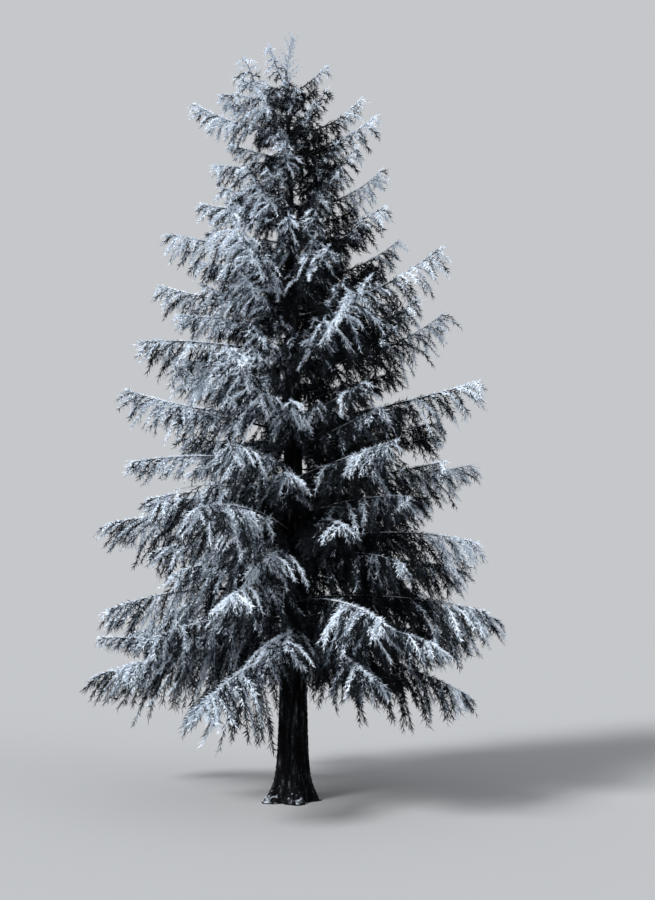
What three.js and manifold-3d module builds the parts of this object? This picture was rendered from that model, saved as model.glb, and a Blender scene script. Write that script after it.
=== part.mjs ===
// Norway spruce, one whole tree rooted in the ground: a standalone three.js model in millimetres.
// Z is up, X is to the right of the view that the sizes were taken from, and the origin is the
// centre of the flat cut under the trunk. The trunk is one solid, each long low bough is one
// tapering limb, and each mass of foliage is one solid: a stem with twigs and drooping sprays.

import * as THREE from "three";
import { mergeVertices } from "three/addons/utils/BufferGeometryUtils.js";
import Module from "manifold-3d";

const wasm = await Module();
wasm.setup();
const { Manifold, Mesh: SolidMesh } = wasm;

// Driving dimensions of the trunk
const TREE_HEIGHT = 12000;
const TRUNK_TOP = 11400;
const TRUNK_RADIUS = 215;
const TAPER_POWER = 0.95;
const TAPER_HEIGHT = 12200;
const FLARE_OUT = 157;
const FLARE_HEIGHT = 175;
const FLARE_LOBES = 5;
const FLARE_LOBE_SHARE = 0.3;
const FLARE_LEFT_SHARE = 0.28;
const LEAN_LEFT = 165; // of the trunk's top, which the lean reaches in a long curve
const LEAN_POWER = 2.5;
const LEADER_RETURN = 0.2; // the leader's slope back to the right
const LEADER_SUNK = 20; // where its stem starts, before it is cut clear of the trunk
const TRUNK_SIDES = 12;
const FLARE_TOP = 800;
const FLARE_RINGS = 7;
const BOLE_RINGS = 15;

// Driving dimensions of the crown. A whorl is a ring of boughs that leave the trunk at about one
// height. For its left and its right bough the table gives the height at the trunk, how far it
// reaches to the side, the height of its tip, and how far its middle bows up (or sags). Boughs to
// the front and the back take the mean of the two. Every other whorl is turned the other way.
const WHORLS = [
  { left: [11020, 800, 11420, 60], right: [10960, 640, 11300, -30], count: 3 },
  { left: [10720, 1040, 10700, 70], right: [10300, 1220, 11240, -70], count: 3 },
  { left: [10330, 1550, 11060, -20], right: [9800, 1360, 10300, -30], count: 3 },
  { left: [9450, 1160, 9480, 90], right: [9050, 1540, 10040, -90], count: 3 },
  { left: [8900, 1460, 9320, 40], right: [8420, 1450, 8820, -30], count: 3 },
  { left: [8120, 1840, 8240, 60], right: [7850, 1770, 8780, -80], count: 3 },
  { left: [7450, 2160, 8000, -20], right: [7200, 2230, 8060, -60], count: 4 },
  { left: [6580, 2190, 6560, 110], right: [6450, 2590, 7700, -100], count: 4 },
  { left: [5650, 2690, 6240, -40], right: [5500, 2720, 6020, 50], count: 4 },
  { left: [4900, 2340, 4820, 130], right: [4550, 2910, 5040, 30], count: 4 },
  { left: [3830, 3040, 4120, 330], right: [3620, 2560, 3640, 260], count: 4 },
  { left: [2920, 2530, 2720, 220], right: [2820, 3300, 2560, 140], count: 4 },
  { left: [2100, 3140, 1680, 130], right: [2050, 2430, 1540, 190], count: 4 },
];
const WHORL_TURN = 22; // degrees
const TURN_JITTER = 5;
const HEIGHT_JITTER = 90;
const LIMB_WHORLS = 3; // the lowest whorls, whose boughs are bare limbs near the trunk
const LIMB_ROOT_RADIUS = 52;
const LIMB_END_RADIUS = 38;
const LIMB_END_SHARE = 0.24; // of a bough, where its foliage takes over
const LIMB_SIDES = 6;
const LIMB_STEPS = 2;

// Driving dimensions of the foliage
const STEM_ROOT_RADIUS = 42;
const STEM_TIP_RADIUS = 15;
const STEM_LEAST_SIZE = 0.5; // the stem of a short bough is no thinner than this share,
const STEM_TRUNK_SHARE = 0.6; // unless the trunk is too thin there to carry it
const STEM_SIDES = 3;
const STEM_STEPS = 4;
const STEM_BARE_SHARE = 0.06; // of a stem that leaves the trunk, before its first spray
const FULL_REACH = 2600; // a bough of this reach or more carries full-size sprays
const LEAST_SIZE = 0.45;
const LEADER_SIZE = 0.5;
const STEM_END_SHARE = 0.86; // of a bough, where its stem ends in a last spray
// One side of a spray's outline from the root, as shares of the length and of the half width
const SIDE_TEETH = [
  [0.46, 1.0],
  [0.34, 0.52],
  [0.8, 0.72],
  [0.64, 0.36],
];
const FRINGE_TEETH = [
  [0.62, 1.0],
  [0.44, 0.5],
];
// The kinds of spray: sizes at full length, halfWidth, stalk and droop as shares of the length,
// and the least and the most dip below the level and sweep forward, in degrees
const SIDE_SPRAY = {
  length: 1180,
  halfWidth: 0.24,
  stalk: 0.1,
  droop: 0.18,
  dip: [30, 58],
  sweep: [22, 48],
  teeth: SIDE_TEETH,
};
const FRINGE_SPRAY = {
  length: 980,
  halfWidth: 0.24,
  stalk: 0.08,
  droop: 0,
  dip: [70, 86],
  sweep: [10, 60],
  teeth: FRINGE_TEETH,
};
const TIP_SPRAY = { halfWidth: 0.2, stalk: 0.08, droop: 0, teeth: SIDE_TEETH };
const LEADER_SPRAY = {
  length: 520,
  halfWidth: 0.2,
  stalk: 0.1,
  droop: 0,
  dip: [-62, -42],
  sweep: [10, 40],
  teeth: SIDE_TEETH,
};
const ROLL = 32; // degrees either way, of a spray about its own middle
const STALK_SHARE = 0.42; // of the stem's radius where the stalk of a spray leaves it
const SPACE_DROP = 200; // of a space, below its stem
const LOWEST_LEAF = 1080; // above the ground
const SPACE_MARGIN = 6; // kept on each side of the border between two masses
const CLEARANCE = 0.3; // between pieces that meet
const LEAF_CLEARANCE = 6; // between a spray and a limb or another mass
const SMOOTHING = 3; // slivers left where sprays cross are smoothed away within this

// The frosted needles and the dark bark
const NEEDLE_FINISH = { color: 0x8b95a1, roughness: 0.85, metalness: 0 };
const BARK_FINISH = { color: 0x24262b, roughness: 0.92, metalness: 0 };

const DOWN = new THREE.Vector3(0, 0, -1);
const UP = new THREE.Vector3(0, 0, 1);

// Seeded random numbers
function seeded(seed) {
  let state = seed >>> 0;
  return () => {
    state = (state + 0x6d2b79f5) >>> 0;
    let t = Math.imul(state ^ (state >>> 15), 1 | state);
    t = (t + Math.imul(t ^ (t >>> 7), 61 | t)) ^ t;
    return ((t ^ (t >>> 14)) >>> 0) / 4294967296;
  };
}

const between = (random, low, high) => low + (high - low) * random();

// Between three.js geometry and solids
function solidOf(geometry) {
  const bare = geometry.clone();
  bare.deleteAttribute("normal");
  bare.deleteAttribute("uv");
  const merged = mergeVertices(bare, 1e-3);
  return new Manifold(
    new SolidMesh({
      numProp: 3,
      vertProperties: new Float32Array(merged.attributes.position.array),
      triVerts: new Uint32Array(merged.index.array),
    }),
  );
}

function geometryOf(solid) {
  const mesh = solid.getMesh();
  return new THREE.BufferGeometry()
    .setAttribute("position", new THREE.BufferAttribute(mesh.vertProperties, 3))
    .setIndex(new THREE.BufferAttribute(mesh.triVerts, 1));
}

// The outer skin of a solid's largest body, without loose scraps and sealed hollows
const largestBody = (solid) => solid.decompose().reduce((a, b) => (b.volume() > a.volume() ? b : a));

// A closed geometry from points and faces given as triples of point numbers
function facetedGeometry(points, faces) {
  return new THREE.BufferGeometry().setFromPoints(points).setIndex(faces.flat());
}

// The trunk's centre line: straight below, leaning left with height, and the leader leaning back
function trunkAxis(up) {
  const lean = -LEAN_LEFT * Math.pow(THREE.MathUtils.clamp(up / TRUNK_TOP, 0, 1), LEAN_POWER);
  const back = Math.max(0, up - TRUNK_TOP) * LEADER_RETURN;
  return new THREE.Vector3(lean + back, 0, up);
}

function trunkRadius(up, angle) {
  const bole = TRUNK_RADIUS * Math.pow(1 - up / TAPER_HEIGHT, TAPER_POWER);
  const lobes = FLARE_LOBE_SHARE * Math.cos(FLARE_LOBES * angle + 0.6);
  const flare = FLARE_OUT * (1 + lobes - FLARE_LEFT_SHARE * Math.cos(angle));
  return bole + flare * Math.exp(-up / FLARE_HEIGHT);
}

// A lathe around the centre line, whose rings lie closer together in the root flare
function trunkGeometry(grownBy) {
  const profile = [new THREE.Vector2(0, 0)];
  for (let i = 0; i < FLARE_RINGS; i++) {
    profile.push(new THREE.Vector2(1, FLARE_TOP * Math.pow(i / FLARE_RINGS, 1.6)));
  }
  for (let i = 0; i <= BOLE_RINGS; i++) {
    profile.push(new THREE.Vector2(1, THREE.MathUtils.lerp(FLARE_TOP, TRUNK_TOP, i / BOLE_RINGS)));
  }
  profile.at(-1).y += grownBy;
  profile.push(new THREE.Vector2(0, TRUNK_TOP + grownBy));
  const geometry = new THREE.LatheGeometry(profile, TRUNK_SIDES).rotateX(Math.PI / 2);
  const place = geometry.attributes.position;
  for (let i = 0; i < place.count; i++) {
    const up = place.getZ(i);
    const centre = trunkAxis(up);
    const angle = Math.atan2(place.getY(i), place.getX(i));
    const share = Math.hypot(place.getX(i), place.getY(i));
    const out = share * (trunkRadius(up, angle) + grownBy);
    place.setXY(i, centre.x + out * Math.cos(angle), centre.y + out * Math.sin(angle));
  }
  return geometry;
}

// A tapering limb or stem along a row of points, with flat ends. All its cross-sections face the
// same way, from the first point to the last, so that each of its faces is flat.
function taperedTube(points, radii, sides) {
  const along = points.at(-1).clone().sub(points[0]).normalize();
  const guide = Math.abs(along.z) > 0.9 ? new THREE.Vector3(1, 0, 0) : UP;
  const across = along.clone().cross(guide).normalize();
  const ridge = across.clone().cross(along);
  const places = [];
  const faces = [];
  points.forEach((point, i) => {
    for (let k = 0; k < sides; k++) {
      const angle = (2 * Math.PI * k) / sides;
      const corner = point.clone().addScaledVector(ridge, radii[i] * Math.cos(angle));
      places.push(corner.addScaledVector(across, radii[i] * Math.sin(angle)));
    }
  });
  const last = (points.length - 1) * sides;
  for (let a = 0; a < last; a++) {
    const b = a % sides === sides - 1 ? a + 1 - sides : a + 1;
    faces.push([a, b, b + sides], [a, b + sides, a + sides]);
  }
  for (let k = 2; k < sides; k++) faces.push([0, k, k - 1], [last, last + k - 1, last + k]);
  return facetedGeometry(places, faces);
}

// Where a bough runs: from the trunk's centre line out to its tip, rising or hanging as its whorl
// says, and bowed between
function boughCurve([foot, reach, tip, bow], azimuth) {
  const root = trunkAxis(foot);
  const out = new THREE.Vector3(Math.cos(azimuth), Math.sin(azimuth), 0);
  const rise = tip - foot;
  const at = (share, high) => root.clone().addScaledVector(out, reach * share).addScaledVector(UP, high);
  const inner = at(0.33, 0.15 * rise + bow);
  const outer = at(0.7, 0.5 * rise + bow);
  return new THREE.CubicBezierCurve3(root, inner, outer, at(1, rise));
}

// The boughs of a whorl point right, left, front and back, and a whorl of three has its third one
// in front or behind by turns
function whorlBoughs({ left, right, count }, number) {
  const random = seeded(901 + number);
  const mean = left.map((size, k) => (size + right[k]) / 2);
  const turn = number % 2 ? WHORL_TURN : -WHORL_TURN;
  const ways = [
    { side: "right", sizes: right, degrees: 0 },
    { side: "left", sizes: left, degrees: 180 },
    { side: "front", sizes: mean, degrees: 270 },
    { side: "back", sizes: mean, degrees: 90 },
  ];
  if (count === 3) ways.splice(number % 2 ? 2 : 3, 1);
  return ways.map(({ side, sizes, degrees }, k) => {
    const shift = k < 2 ? 0 : between(random, -HEIGHT_JITTER, HEIGHT_JITTER);
    const turned = THREE.MathUtils.degToRad(turn + between(random, -TURN_JITTER, TURN_JITTER));
    const [foot, sideReach, tip, bow] = sizes;
    const reach = sideReach / Math.cos(turned);
    return {
      name: `tier${String(WHORLS.length - number).padStart(2, "0")}_${side}`,
      reach,
      size: THREE.MathUtils.clamp(reach / FULL_REACH, LEAST_SIZE, 1),
      curve: boughCurve([foot + shift, reach, tip + shift, bow], turned + THREE.MathUtils.degToRad(degrees)),
      isLimb: number >= WHORLS.length - LIMB_WHORLS,
      seed: 17 * number + 101 * k + 5,
    };
  });
}

// The leader: a short shoot that carries the trunk on to the top of the tree
function leaderBough() {
  const foot = trunkAxis(TRUNK_TOP - LEADER_SUNK);
  const tip = trunkAxis(TREE_HEIGHT);
  return {
    name: "leader",
    size: LEADER_SIZE,
    curve: new THREE.LineCurve3(foot, tip),
    isLimb: false,
    isLeader: true,
    seed: 7,
  };
}

// A row of points along a part of a curve, and tapering radii to go with them
function taper(curve, from, to, steps, rootRadius, tipRadius) {
  const points = [];
  const radii = [];
  for (let i = 0; i <= steps; i++) {
    points.push(curve.getPoint(from + ((to - from) * i) / steps));
    radii.push(rootRadius + ((tipRadius - rootRadius) * i) / steps);
  }
  return { points, radii };
}

// A bare limb, from inside the trunk to where its foliage begins
function limbSolid({ curve }, grownBy) {
  const end = LIMB_END_SHARE + grownBy / curve.getLength();
  const [thick, thin] = [LIMB_ROOT_RADIUS + grownBy, LIMB_END_RADIUS + grownBy];
  const { points, radii } = taper(curve, 0, end, LIMB_STEPS, thick, thin);
  return solidOf(taperedTube(points, radii, LIMB_SIDES));
}

// One twig with its spray of needles: a short square stalk that opens out into a thin toothed
// blade, which thins and droops towards its tip
function sprayGeometry({ root, along, across, thick, length, halfWidth, stalk, droop, teeth }) {
  const normal = along.clone().cross(across).normalize();
  const begin = stalk * length;
  const at = (out, wide, high) =>
    root
      .clone()
      .addScaledVector(along, out)
      .addScaledVector(across, wide)
      .addScaledVector(normal, high)
      .addScaledVector(DOWN, (droop * Math.pow(Math.max(0, out - begin), 2)) / length);
  const blade = (share, wide) => at(begin + share * (length - begin), wide * halfWidth * length, 0);
  const foot = [[1, 0], [0, 1], [-1, 0], [0, -1]].map(([a, n]) => at(0, a * thick, n * thick));
  const rim = [
    at(begin, thick, 0),
    ...teeth.map(([share, wide]) => blade(share, wide)),
    blade(1, 0),
    ...teeth.map(([share, wide]) => blade(share, -wide)).reverse(),
    at(begin, -thick, 0),
  ];
  const points = [...foot, ...rim, at(begin, 0, thick), at(begin, 0, -thick)];
  const first = foot.length;
  const last = first + rim.length - 1;
  const [over, under] = [last + 1, last + 2];
  const faces = [
    [0, 3, 2],
    [0, 2, 1],
  ];
  const collar = [first, over, last, under];
  collar.forEach((place, k) => {
    const next = (k + 1) % collar.length;
    faces.push([k, next, collar[next]], [k, collar[next], place]);
  });
  for (let i = first; i < last; i++) faces.push([over, i + 1, i], [under, i, i + 1]);
  return facetedGeometry(points, faces);
}

// The space of each mass: all points nearer to its own drooping middle line than to any other's
function middleLine(bough) {
  const steps = 12;
  const line = [];
  for (let i = 0; i <= steps; i++) {
    const point = bough.curve.getPoint(i / steps);
    line.push(point.addScaledVector(DOWN, bough.isLeader ? 0 : SPACE_DROP));
  }
  return line;
}

function distanceTo(line, point) {
  let least = Infinity;
  const segment = new THREE.Line3();
  const nearest = new THREE.Vector3();
  for (let i = 0; i + 1 < line.length; i++) {
    segment.set(line[i], line[i + 1]).closestPointToPoint(point, true, nearest);
    least = Math.min(least, nearest.distanceTo(point));
  }
  return least;
}

function staysInSpace(geometry, own, lines) {
  const place = geometry.attributes.position;
  const point = new THREE.Vector3();
  for (let i = 0; i < place.count; i++) {
    point.fromBufferAttribute(place, i);
    if (point.z < LOWEST_LEAF) return false;
    const mine = distanceTo(lines[own], point) + SPACE_MARGIN;
    if (lines.some((line, k) => k !== own && distanceTo(line, point) < mine)) return false;
  }
  return true;
}

const withBox = (solid) => ({ solid, box: solid.boundingBox() });

function boxesMeet(a, b, gap) {
  return [0, 1, 2].every((k) => a.min[k] - gap < b.max[k] && b.min[k] - gap < a.max[k]);
}

function touchesAny(solid, others) {
  const box = solid.boundingBox();
  return others.some(
    (other) =>
      boxesMeet(box, other.box, LEAF_CLEARANCE) &&
      solid.minGap(other.solid, LEAF_CLEARANCE) < LEAF_CLEARANCE,
  );
}

// The point and the direction at a share of the way along a stem, and how thick a stalk is there
function placeOn({ points, radii }, share) {
  const place = share * (points.length - 1);
  const i = Math.min(Math.floor(place), points.length - 2);
  return {
    root: points[i].clone().lerp(points[i + 1], place - i),
    heading: points[i + 1].clone().sub(points[i]).normalize(),
    thick: STALK_SHARE * THREE.MathUtils.lerp(radii[i], radii[i + 1], place - i),
  };
}

// How long a side spray is, as a share of the longest, at a share of the way along the foliage
const sprayShare = (share) => 0.55 + 0.45 * Math.sin(Math.PI * (0.2 + 0.7 * share));

// The way a spray points from a stem: swept forward from square to it, and dipping; and the way
// that its width lies, which is along the stem, rolled a little
function sprayDirections(random, heading, side, { dip, sweep }) {
  const swept = THREE.MathUtils.degToRad(between(random, ...sweep));
  const dipped = THREE.MathUtils.degToRad(between(random, ...dip));
  const ahead = heading.clone().setZ(0).normalize();
  const sideways = ahead.clone().cross(UP).multiplyScalar(side);
  const level = ahead.clone().multiplyScalar(Math.sin(swept)).addScaledVector(sideways, Math.cos(swept));
  const along = level.multiplyScalar(Math.cos(dipped)).addScaledVector(DOWN, Math.sin(dipped));
  const across = heading.clone().addScaledVector(along, -heading.dot(along)).normalize();
  const rolled = THREE.MathUtils.degToRad(between(random, -ROLL, ROLL));
  return { along, across: across.applyAxisAngle(along, rolled) };
}

// One mass of foliage: a stem along the bough, sprays to both sides of it by turns, sprays that
// hang below it as a fringe, and one that carries on from its tip
function massSolid(bough, own, lines, trunkGrown, neighbours) {
  const random = seeded(bough.seed);
  const { curve, reach, size, isLimb, isLeader } = bough;
  const stemSize = Math.max(size, STEM_LEAST_SIZE);
  const carried = STEM_TRUNK_SHARE * trunkRadius(curve.getPoint(0).z, 0);
  const rootRadius = isLimb ? 0.8 * LIMB_END_RADIUS : Math.min(STEM_ROOT_RADIUS * stemSize, carried);
  const tipRadius = Math.min(STEM_TIP_RADIUS * stemSize, rootRadius);
  const start = isLimb ? LIMB_END_SHARE - 0.01 : isLeader ? 0 : rootRadius / reach;
  const end = isLeader ? 0.6 : STEM_END_SHARE;
  const axis = taper(curve, start, end, STEM_STEPS, rootRadius, tipRadius);
  const stem = solidOf(taperedTube(axis.points, axis.radii, STEM_SIDES));
  const sprays = [];
  const bare = isLimb || isLeader ? 0.04 : STEM_BARE_SHARE;

  function addSpray(share, kind, side, lengthShare) {
    const { root, heading, thick } = placeOn(axis, share);
    const ways = sprayDirections(random, heading, side, kind);
    for (const cut of [1, 0.75, 0.5]) {
      const length = kind.length * lengthShare * cut;
      const geometry = sprayGeometry({ ...kind, ...ways, root, thick, length });
      if (!staysInSpace(geometry, own, lines)) continue;
      const solid = solidOf(geometry);
      if (touchesAny(solid, [...neighbours, ...sprays])) continue;
      sprays.push(withBox(solid));
      return;
    }
  }

  const count = Math.round(2 + 3.6 * size);
  const fringeCount = isLeader ? 0 : Math.round(0.8 * count);
  const sizeShare = 0.35 + 0.65 * size;
  for (let i = 0; i < count; i++) {
    const share = (i + 0.5) / count;
    const lengthShare = sizeShare * sprayShare(share) * between(random, 0.88, 1.12);
    const kind = isLeader ? LEADER_SPRAY : SIDE_SPRAY;
    addSpray(bare + (0.98 - bare) * share, kind, (i + bough.seed) % 2 ? 1 : -1, lengthShare);
  }
  for (let i = 0; i < fringeCount; i++) {
    const share = (i + 0.5) / fringeCount;
    const lengthShare = sizeShare * between(random, 0.8, 1.15);
    addSpray(bare + (0.98 - bare) * share, FRINGE_SPRAY, i % 2 ? 1 : -1, lengthShare);
  }
  const { root, thick } = placeOn(axis, 0.98);
  const onward = curve.getPoint(1).sub(root);
  const along = onward.clone().normalize();
  const across = along.clone().cross(isLeader ? new THREE.Vector3(0, 1, 0) : UP).normalize();
  const tipSpray = { ...TIP_SPRAY, root, along, across, thick, length: onward.length() };
  sprays.push({ solid: solidOf(sprayGeometry(tipSpray)) });
  const mass = Manifold.union([stem, ...sprays.map(({ solid }) => solid)]);
  const carrier = isLimb ? limbSolid(bough, CLEARANCE) : trunkGrown;
  return largestBody(mass.asOriginal().simplify(SMOOTHING).subtract(carrier));
}

function meshOf(name, solid, finish) {
  const mesh = new THREE.Mesh(geometryOf(solid), new THREE.MeshStandardMaterial(finish));
  mesh.name = name;
  return mesh;
}

function buildTree() {
  const tree = new THREE.Group();
  const trunk = solidOf(trunkGeometry(0));
  const trunkGrown = solidOf(trunkGeometry(CLEARANCE));
  tree.add(meshOf("trunk", trunk, BARK_FINISH));
  const boughs = [leaderBough(), ...WHORLS.flatMap(whorlBoughs)];
  const limbs = [withBox(trunk)];
  for (const bough of boughs.filter((b) => b.isLimb)) {
    const limb = limbSolid(bough, 0).subtract(trunkGrown);
    limbs.push(withBox(limb));
    tree.add(meshOf(`bough_${bough.name}`, limb, BARK_FINISH));
  }
  const lines = boughs.map(middleLine);
  const masses = [];
  boughs.forEach((bough, own) => {
    const mass = massSolid(bough, own, lines, trunkGrown, [...limbs, ...masses]);
    masses.push(withBox(mass));
    tree.add(meshOf(`foliage_${bough.name}`, mass, NEEDLE_FINISH));
  });
  return tree;
}

export default buildTree();
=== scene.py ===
import math

import bpy
import numpy as np
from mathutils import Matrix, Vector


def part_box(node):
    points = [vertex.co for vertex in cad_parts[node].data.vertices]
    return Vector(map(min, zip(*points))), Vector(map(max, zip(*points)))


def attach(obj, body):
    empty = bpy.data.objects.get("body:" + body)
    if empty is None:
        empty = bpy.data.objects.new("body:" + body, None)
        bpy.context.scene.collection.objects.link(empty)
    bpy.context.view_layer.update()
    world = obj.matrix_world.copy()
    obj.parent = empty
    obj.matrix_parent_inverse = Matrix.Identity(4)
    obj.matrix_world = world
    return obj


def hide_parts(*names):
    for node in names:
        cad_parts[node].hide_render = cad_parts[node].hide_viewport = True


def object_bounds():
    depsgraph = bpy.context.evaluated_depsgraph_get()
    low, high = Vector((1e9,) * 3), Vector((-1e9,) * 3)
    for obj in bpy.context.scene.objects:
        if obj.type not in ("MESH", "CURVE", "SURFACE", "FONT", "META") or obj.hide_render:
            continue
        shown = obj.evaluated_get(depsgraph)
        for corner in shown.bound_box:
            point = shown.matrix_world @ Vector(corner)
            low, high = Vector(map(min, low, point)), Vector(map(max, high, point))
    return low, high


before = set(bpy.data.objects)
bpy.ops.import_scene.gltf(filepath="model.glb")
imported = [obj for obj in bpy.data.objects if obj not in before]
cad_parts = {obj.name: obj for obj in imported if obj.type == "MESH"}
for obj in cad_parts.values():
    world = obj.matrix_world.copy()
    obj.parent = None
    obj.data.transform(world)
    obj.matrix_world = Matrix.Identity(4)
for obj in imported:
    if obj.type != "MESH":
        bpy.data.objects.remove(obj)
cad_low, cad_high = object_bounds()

# The trunk: one living stem in rough dark bark, buttressed at the foot, leaning a little to the left
# and thinning to a few centimetres under the leader. It is a grid of rings round the leaning centre
# line, with the plates and furrows of the bark raised in the mesh.
TRUNK_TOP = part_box("trunk")[1].z
TREE_TOP = cad_high.z
TRUNK_RADIUS = 0.215
TAPER_POWER = 0.95
TAPER_HEIGHT = 12.2
FLARE_OUT = 0.157
FLARE_HEIGHT = 0.175
FLARE_LOBES = 5
FLARE_LOBE_SHARE = 0.3
FLARE_LOBE_PHASE = 0.6  # radians of the lobes' wave, straight to the right
FLARE_LEFT_SHARE = 0.28  # by which the flare is wider on the left
LEAN_LEFT = 0.165
LEAN_POWER = 2.5
LEADER_RETURN = 0.2  # to the right, for each metre that the leader rises
BUTT_HEIGHT = 2.2  # of the bare stretch, which has its rings closer together
BUTT_RING_SPACING = 0.013
BOLE_RING_SPACING = 0.08
TRUNK_COLUMNS = 150
PLATE_COLUMNS = 34
PLATE_HEIGHT = 0.085
PLATE_RELIEF = 0.013
PLATE_SEED = 11
SCALE_COLUMNS = 76
SCALE_HEIGHT = 0.034
SCALE_RELIEF = 0.004
SCALE_SEED = 12
CENTRE_MARGIN = 0.08  # of a cell, that a plate's centre keeps from the cell's sides
SPARE_ROWS = 3  # of cells above the trunk's top, which the foot's row wraps round to
FURROW_SHARE = 0.32  # of a cell: how much farther off the next plate's centre is where one is flat
# Waves that make the columns of plates wind: how many plates wide, radians a metre, waves round.
PLATE_SWAYS = [(0.35, 2.1, 3), (0.2, 5.3, -2)]
RIB_RELIEF = 0.016
RIB_SWAY = (0.5, 1.7)  # radians, and radians a metre
# Finer ribs between those of the lobes: share, waves round, radians a metre, radians at the foot.
FINE_RIBS = [(0.5, 11, 1.2, 1.0), (0.3, 17, -0.9, 0.0)]
RIB_LEAST = 0.3  # of their relief, high up
RIB_FADE_HEIGHT = 0.8
RELIEF_MOST = 1.2  # times its size on the bole, on the wider flare


def trunk_centre(up):
    """The trunk's centre at each height: it leans left by a power of the height, and above its top
    the leader leans back to the right in a straight line."""
    lean = -LEAN_LEFT * np.clip(up / TRUNK_TOP, 0, 1) ** LEAN_POWER
    back = np.maximum(0, up - TRUNK_TOP) * LEADER_RETURN
    return np.stack([lean + back, np.zeros_like(up), up], -1)


def trunk_radius(up, angle):
    """A tapering radius, a power of the height that is left, and the root flare, whose five lobes
    are a cosine round the trunk and fade away upwards exponentially."""
    bole = TRUNK_RADIUS * np.clip(1 - up / TAPER_HEIGHT, 0, 1) ** TAPER_POWER
    lobes = FLARE_LOBE_SHARE * np.cos(FLARE_LOBES * angle + FLARE_LOBE_PHASE)
    flare = FLARE_OUT * (1 + lobes - FLARE_LEFT_SHARE * np.cos(angle))
    return bole + flare * np.exp(-up / FLARE_HEIGHT)


def bark_plates(across, along, columns, seed):
    """Plates between furrows, from 0 to 1: every cell of a grid that closes round the trunk has one
    centre at a random place, and the height goes by the gap between the distances to the nearest
    centre and to the next one, cut off flat."""
    random = np.random.default_rng(seed)
    rows = int(along.max()) + SPARE_ROWS
    centres = random.uniform(CENTRE_MARGIN, 1 - CENTRE_MARGIN, (columns, rows, 2))
    column, row = np.floor(across).astype(int), np.floor(along).astype(int)
    nearest = np.full(across.shape, np.inf)
    second = nearest.copy()
    for i in (-1, 0, 1):
        for j in (-1, 0, 1):
            centre = centres[(column + i) % columns, (row + j) % rows]
            distance = np.hypot(
                column + i + centre[..., 0] - across, row + j + centre[..., 1] - along
            )
            second = np.minimum(second, np.maximum(nearest, distance))
            nearest = np.minimum(nearest, distance)
    return np.clip((second - nearest) / FURROW_SHARE, 0, 1)


def bark_relief(up, angle):
    """Metres out from the smooth trunk: long plates, small scales on them, and ribs that run up
    from the lobes of the flare as sums of cosines, winding a little and fading with height. All of
    it thins with the trunk."""
    turn = angle / (2 * np.pi)
    sway = sum(wide * np.sin(rise * up + waves * angle) for wide, rise, waves in PLATE_SWAYS)
    plates = bark_plates(
        turn * PLATE_COLUMNS + sway, up / PLATE_HEIGHT, PLATE_COLUMNS, PLATE_SEED
    )
    scales = bark_plates(
        turn * SCALE_COLUMNS + sway, up / SCALE_HEIGHT, SCALE_COLUMNS, SCALE_SEED
    )
    winding = RIB_SWAY[0] * np.sin(RIB_SWAY[1] * up)
    ribs = np.cos(FLARE_LOBES * angle + FLARE_LOBE_PHASE + winding)
    for share, waves, rise, start in FINE_RIBS:
        ribs = ribs + share * np.cos(waves * angle + rise * up + start)
    fading = RIB_LEAST + np.exp(-up / RIB_FADE_HEIGHT)
    relief = PLATE_RELIEF * plates + SCALE_RELIEF * scales + RIB_RELIEF * ribs * fading
    return relief * np.clip(trunk_radius(up, angle) / TRUNK_RADIUS, 0, RELIEF_MOST)


def new_piece(name, points, triangles, finishes, finish_of=None, smooth=True):
    """A mesh object at the origin from an array of points and an array of point numbers, three for
    each triangle, with one of its finishes for each triangle."""
    mesh = bpy.data.meshes.new(name)
    mesh.vertices.add(len(points))
    mesh.vertices.foreach_set("co", np.asarray(points, np.float32).ravel())
    mesh.loops.add(3 * len(triangles))
    mesh.loops.foreach_set("vertex_index", np.asarray(triangles, np.int32).ravel())
    mesh.polygons.add(len(triangles))
    mesh.polygons.foreach_set("loop_start", np.arange(0, 3 * len(triangles), 3, dtype=np.int32))
    for finish in finishes:
        mesh.materials.append(finish)
    if finish_of is not None:
        mesh.polygons.foreach_set("material_index", np.asarray(finish_of, np.int32))
    mesh.polygons.foreach_set("use_smooth", np.full(len(triangles), smooth))
    mesh.update(calc_edges=True)
    piece = bpy.data.objects.new(name, mesh)
    bpy.context.scene.collection.objects.link(piece)
    return piece


def ring_grid(rings, columns):
    """Point numbers of two triangles for each cell of a grid of rings, closed round each ring."""
    low = np.arange((rings - 1) * columns).reshape(rings - 1, columns)
    beside = np.roll(low, -1, axis=1)
    first = np.stack([low, beside, beside + columns], -1)
    second = np.stack([low, beside + columns, low + columns], -1)
    return np.concatenate([first.reshape(-1, 3), second.reshape(-1, 3)])


# Colours of the bark from its darkest streaks to its palest scales, and of the frost from thin to
# thick, each at a value of the noise that it follows.
BARK_COLOURS = [
    (0.42, (0.002, 0.002, 0.0025)),
    (0.52, (0.004, 0.0044, 0.005)),
    (0.6, (0.02, 0.022, 0.0255)),
    (0.74, (0.125, 0.14, 0.16)),
]
BARK_FROST_COLOURS = [(0.3, (0.30, 0.34, 0.39)), (0.7, (0.56, 0.61, 0.67))]
FROST_EDGE = [(0.0, (0, 0, 0)), (0.25, (1, 1, 1))]  # none at its limit, whole a quarter past it
BARK_ROUGHNESS = (0.72, 0.97)
DULL_SHINE = 0.03  # the specular level of every finish
BARK_BUMP = 0.5
BARK_BUMP_DEPTH = 0.006
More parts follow.
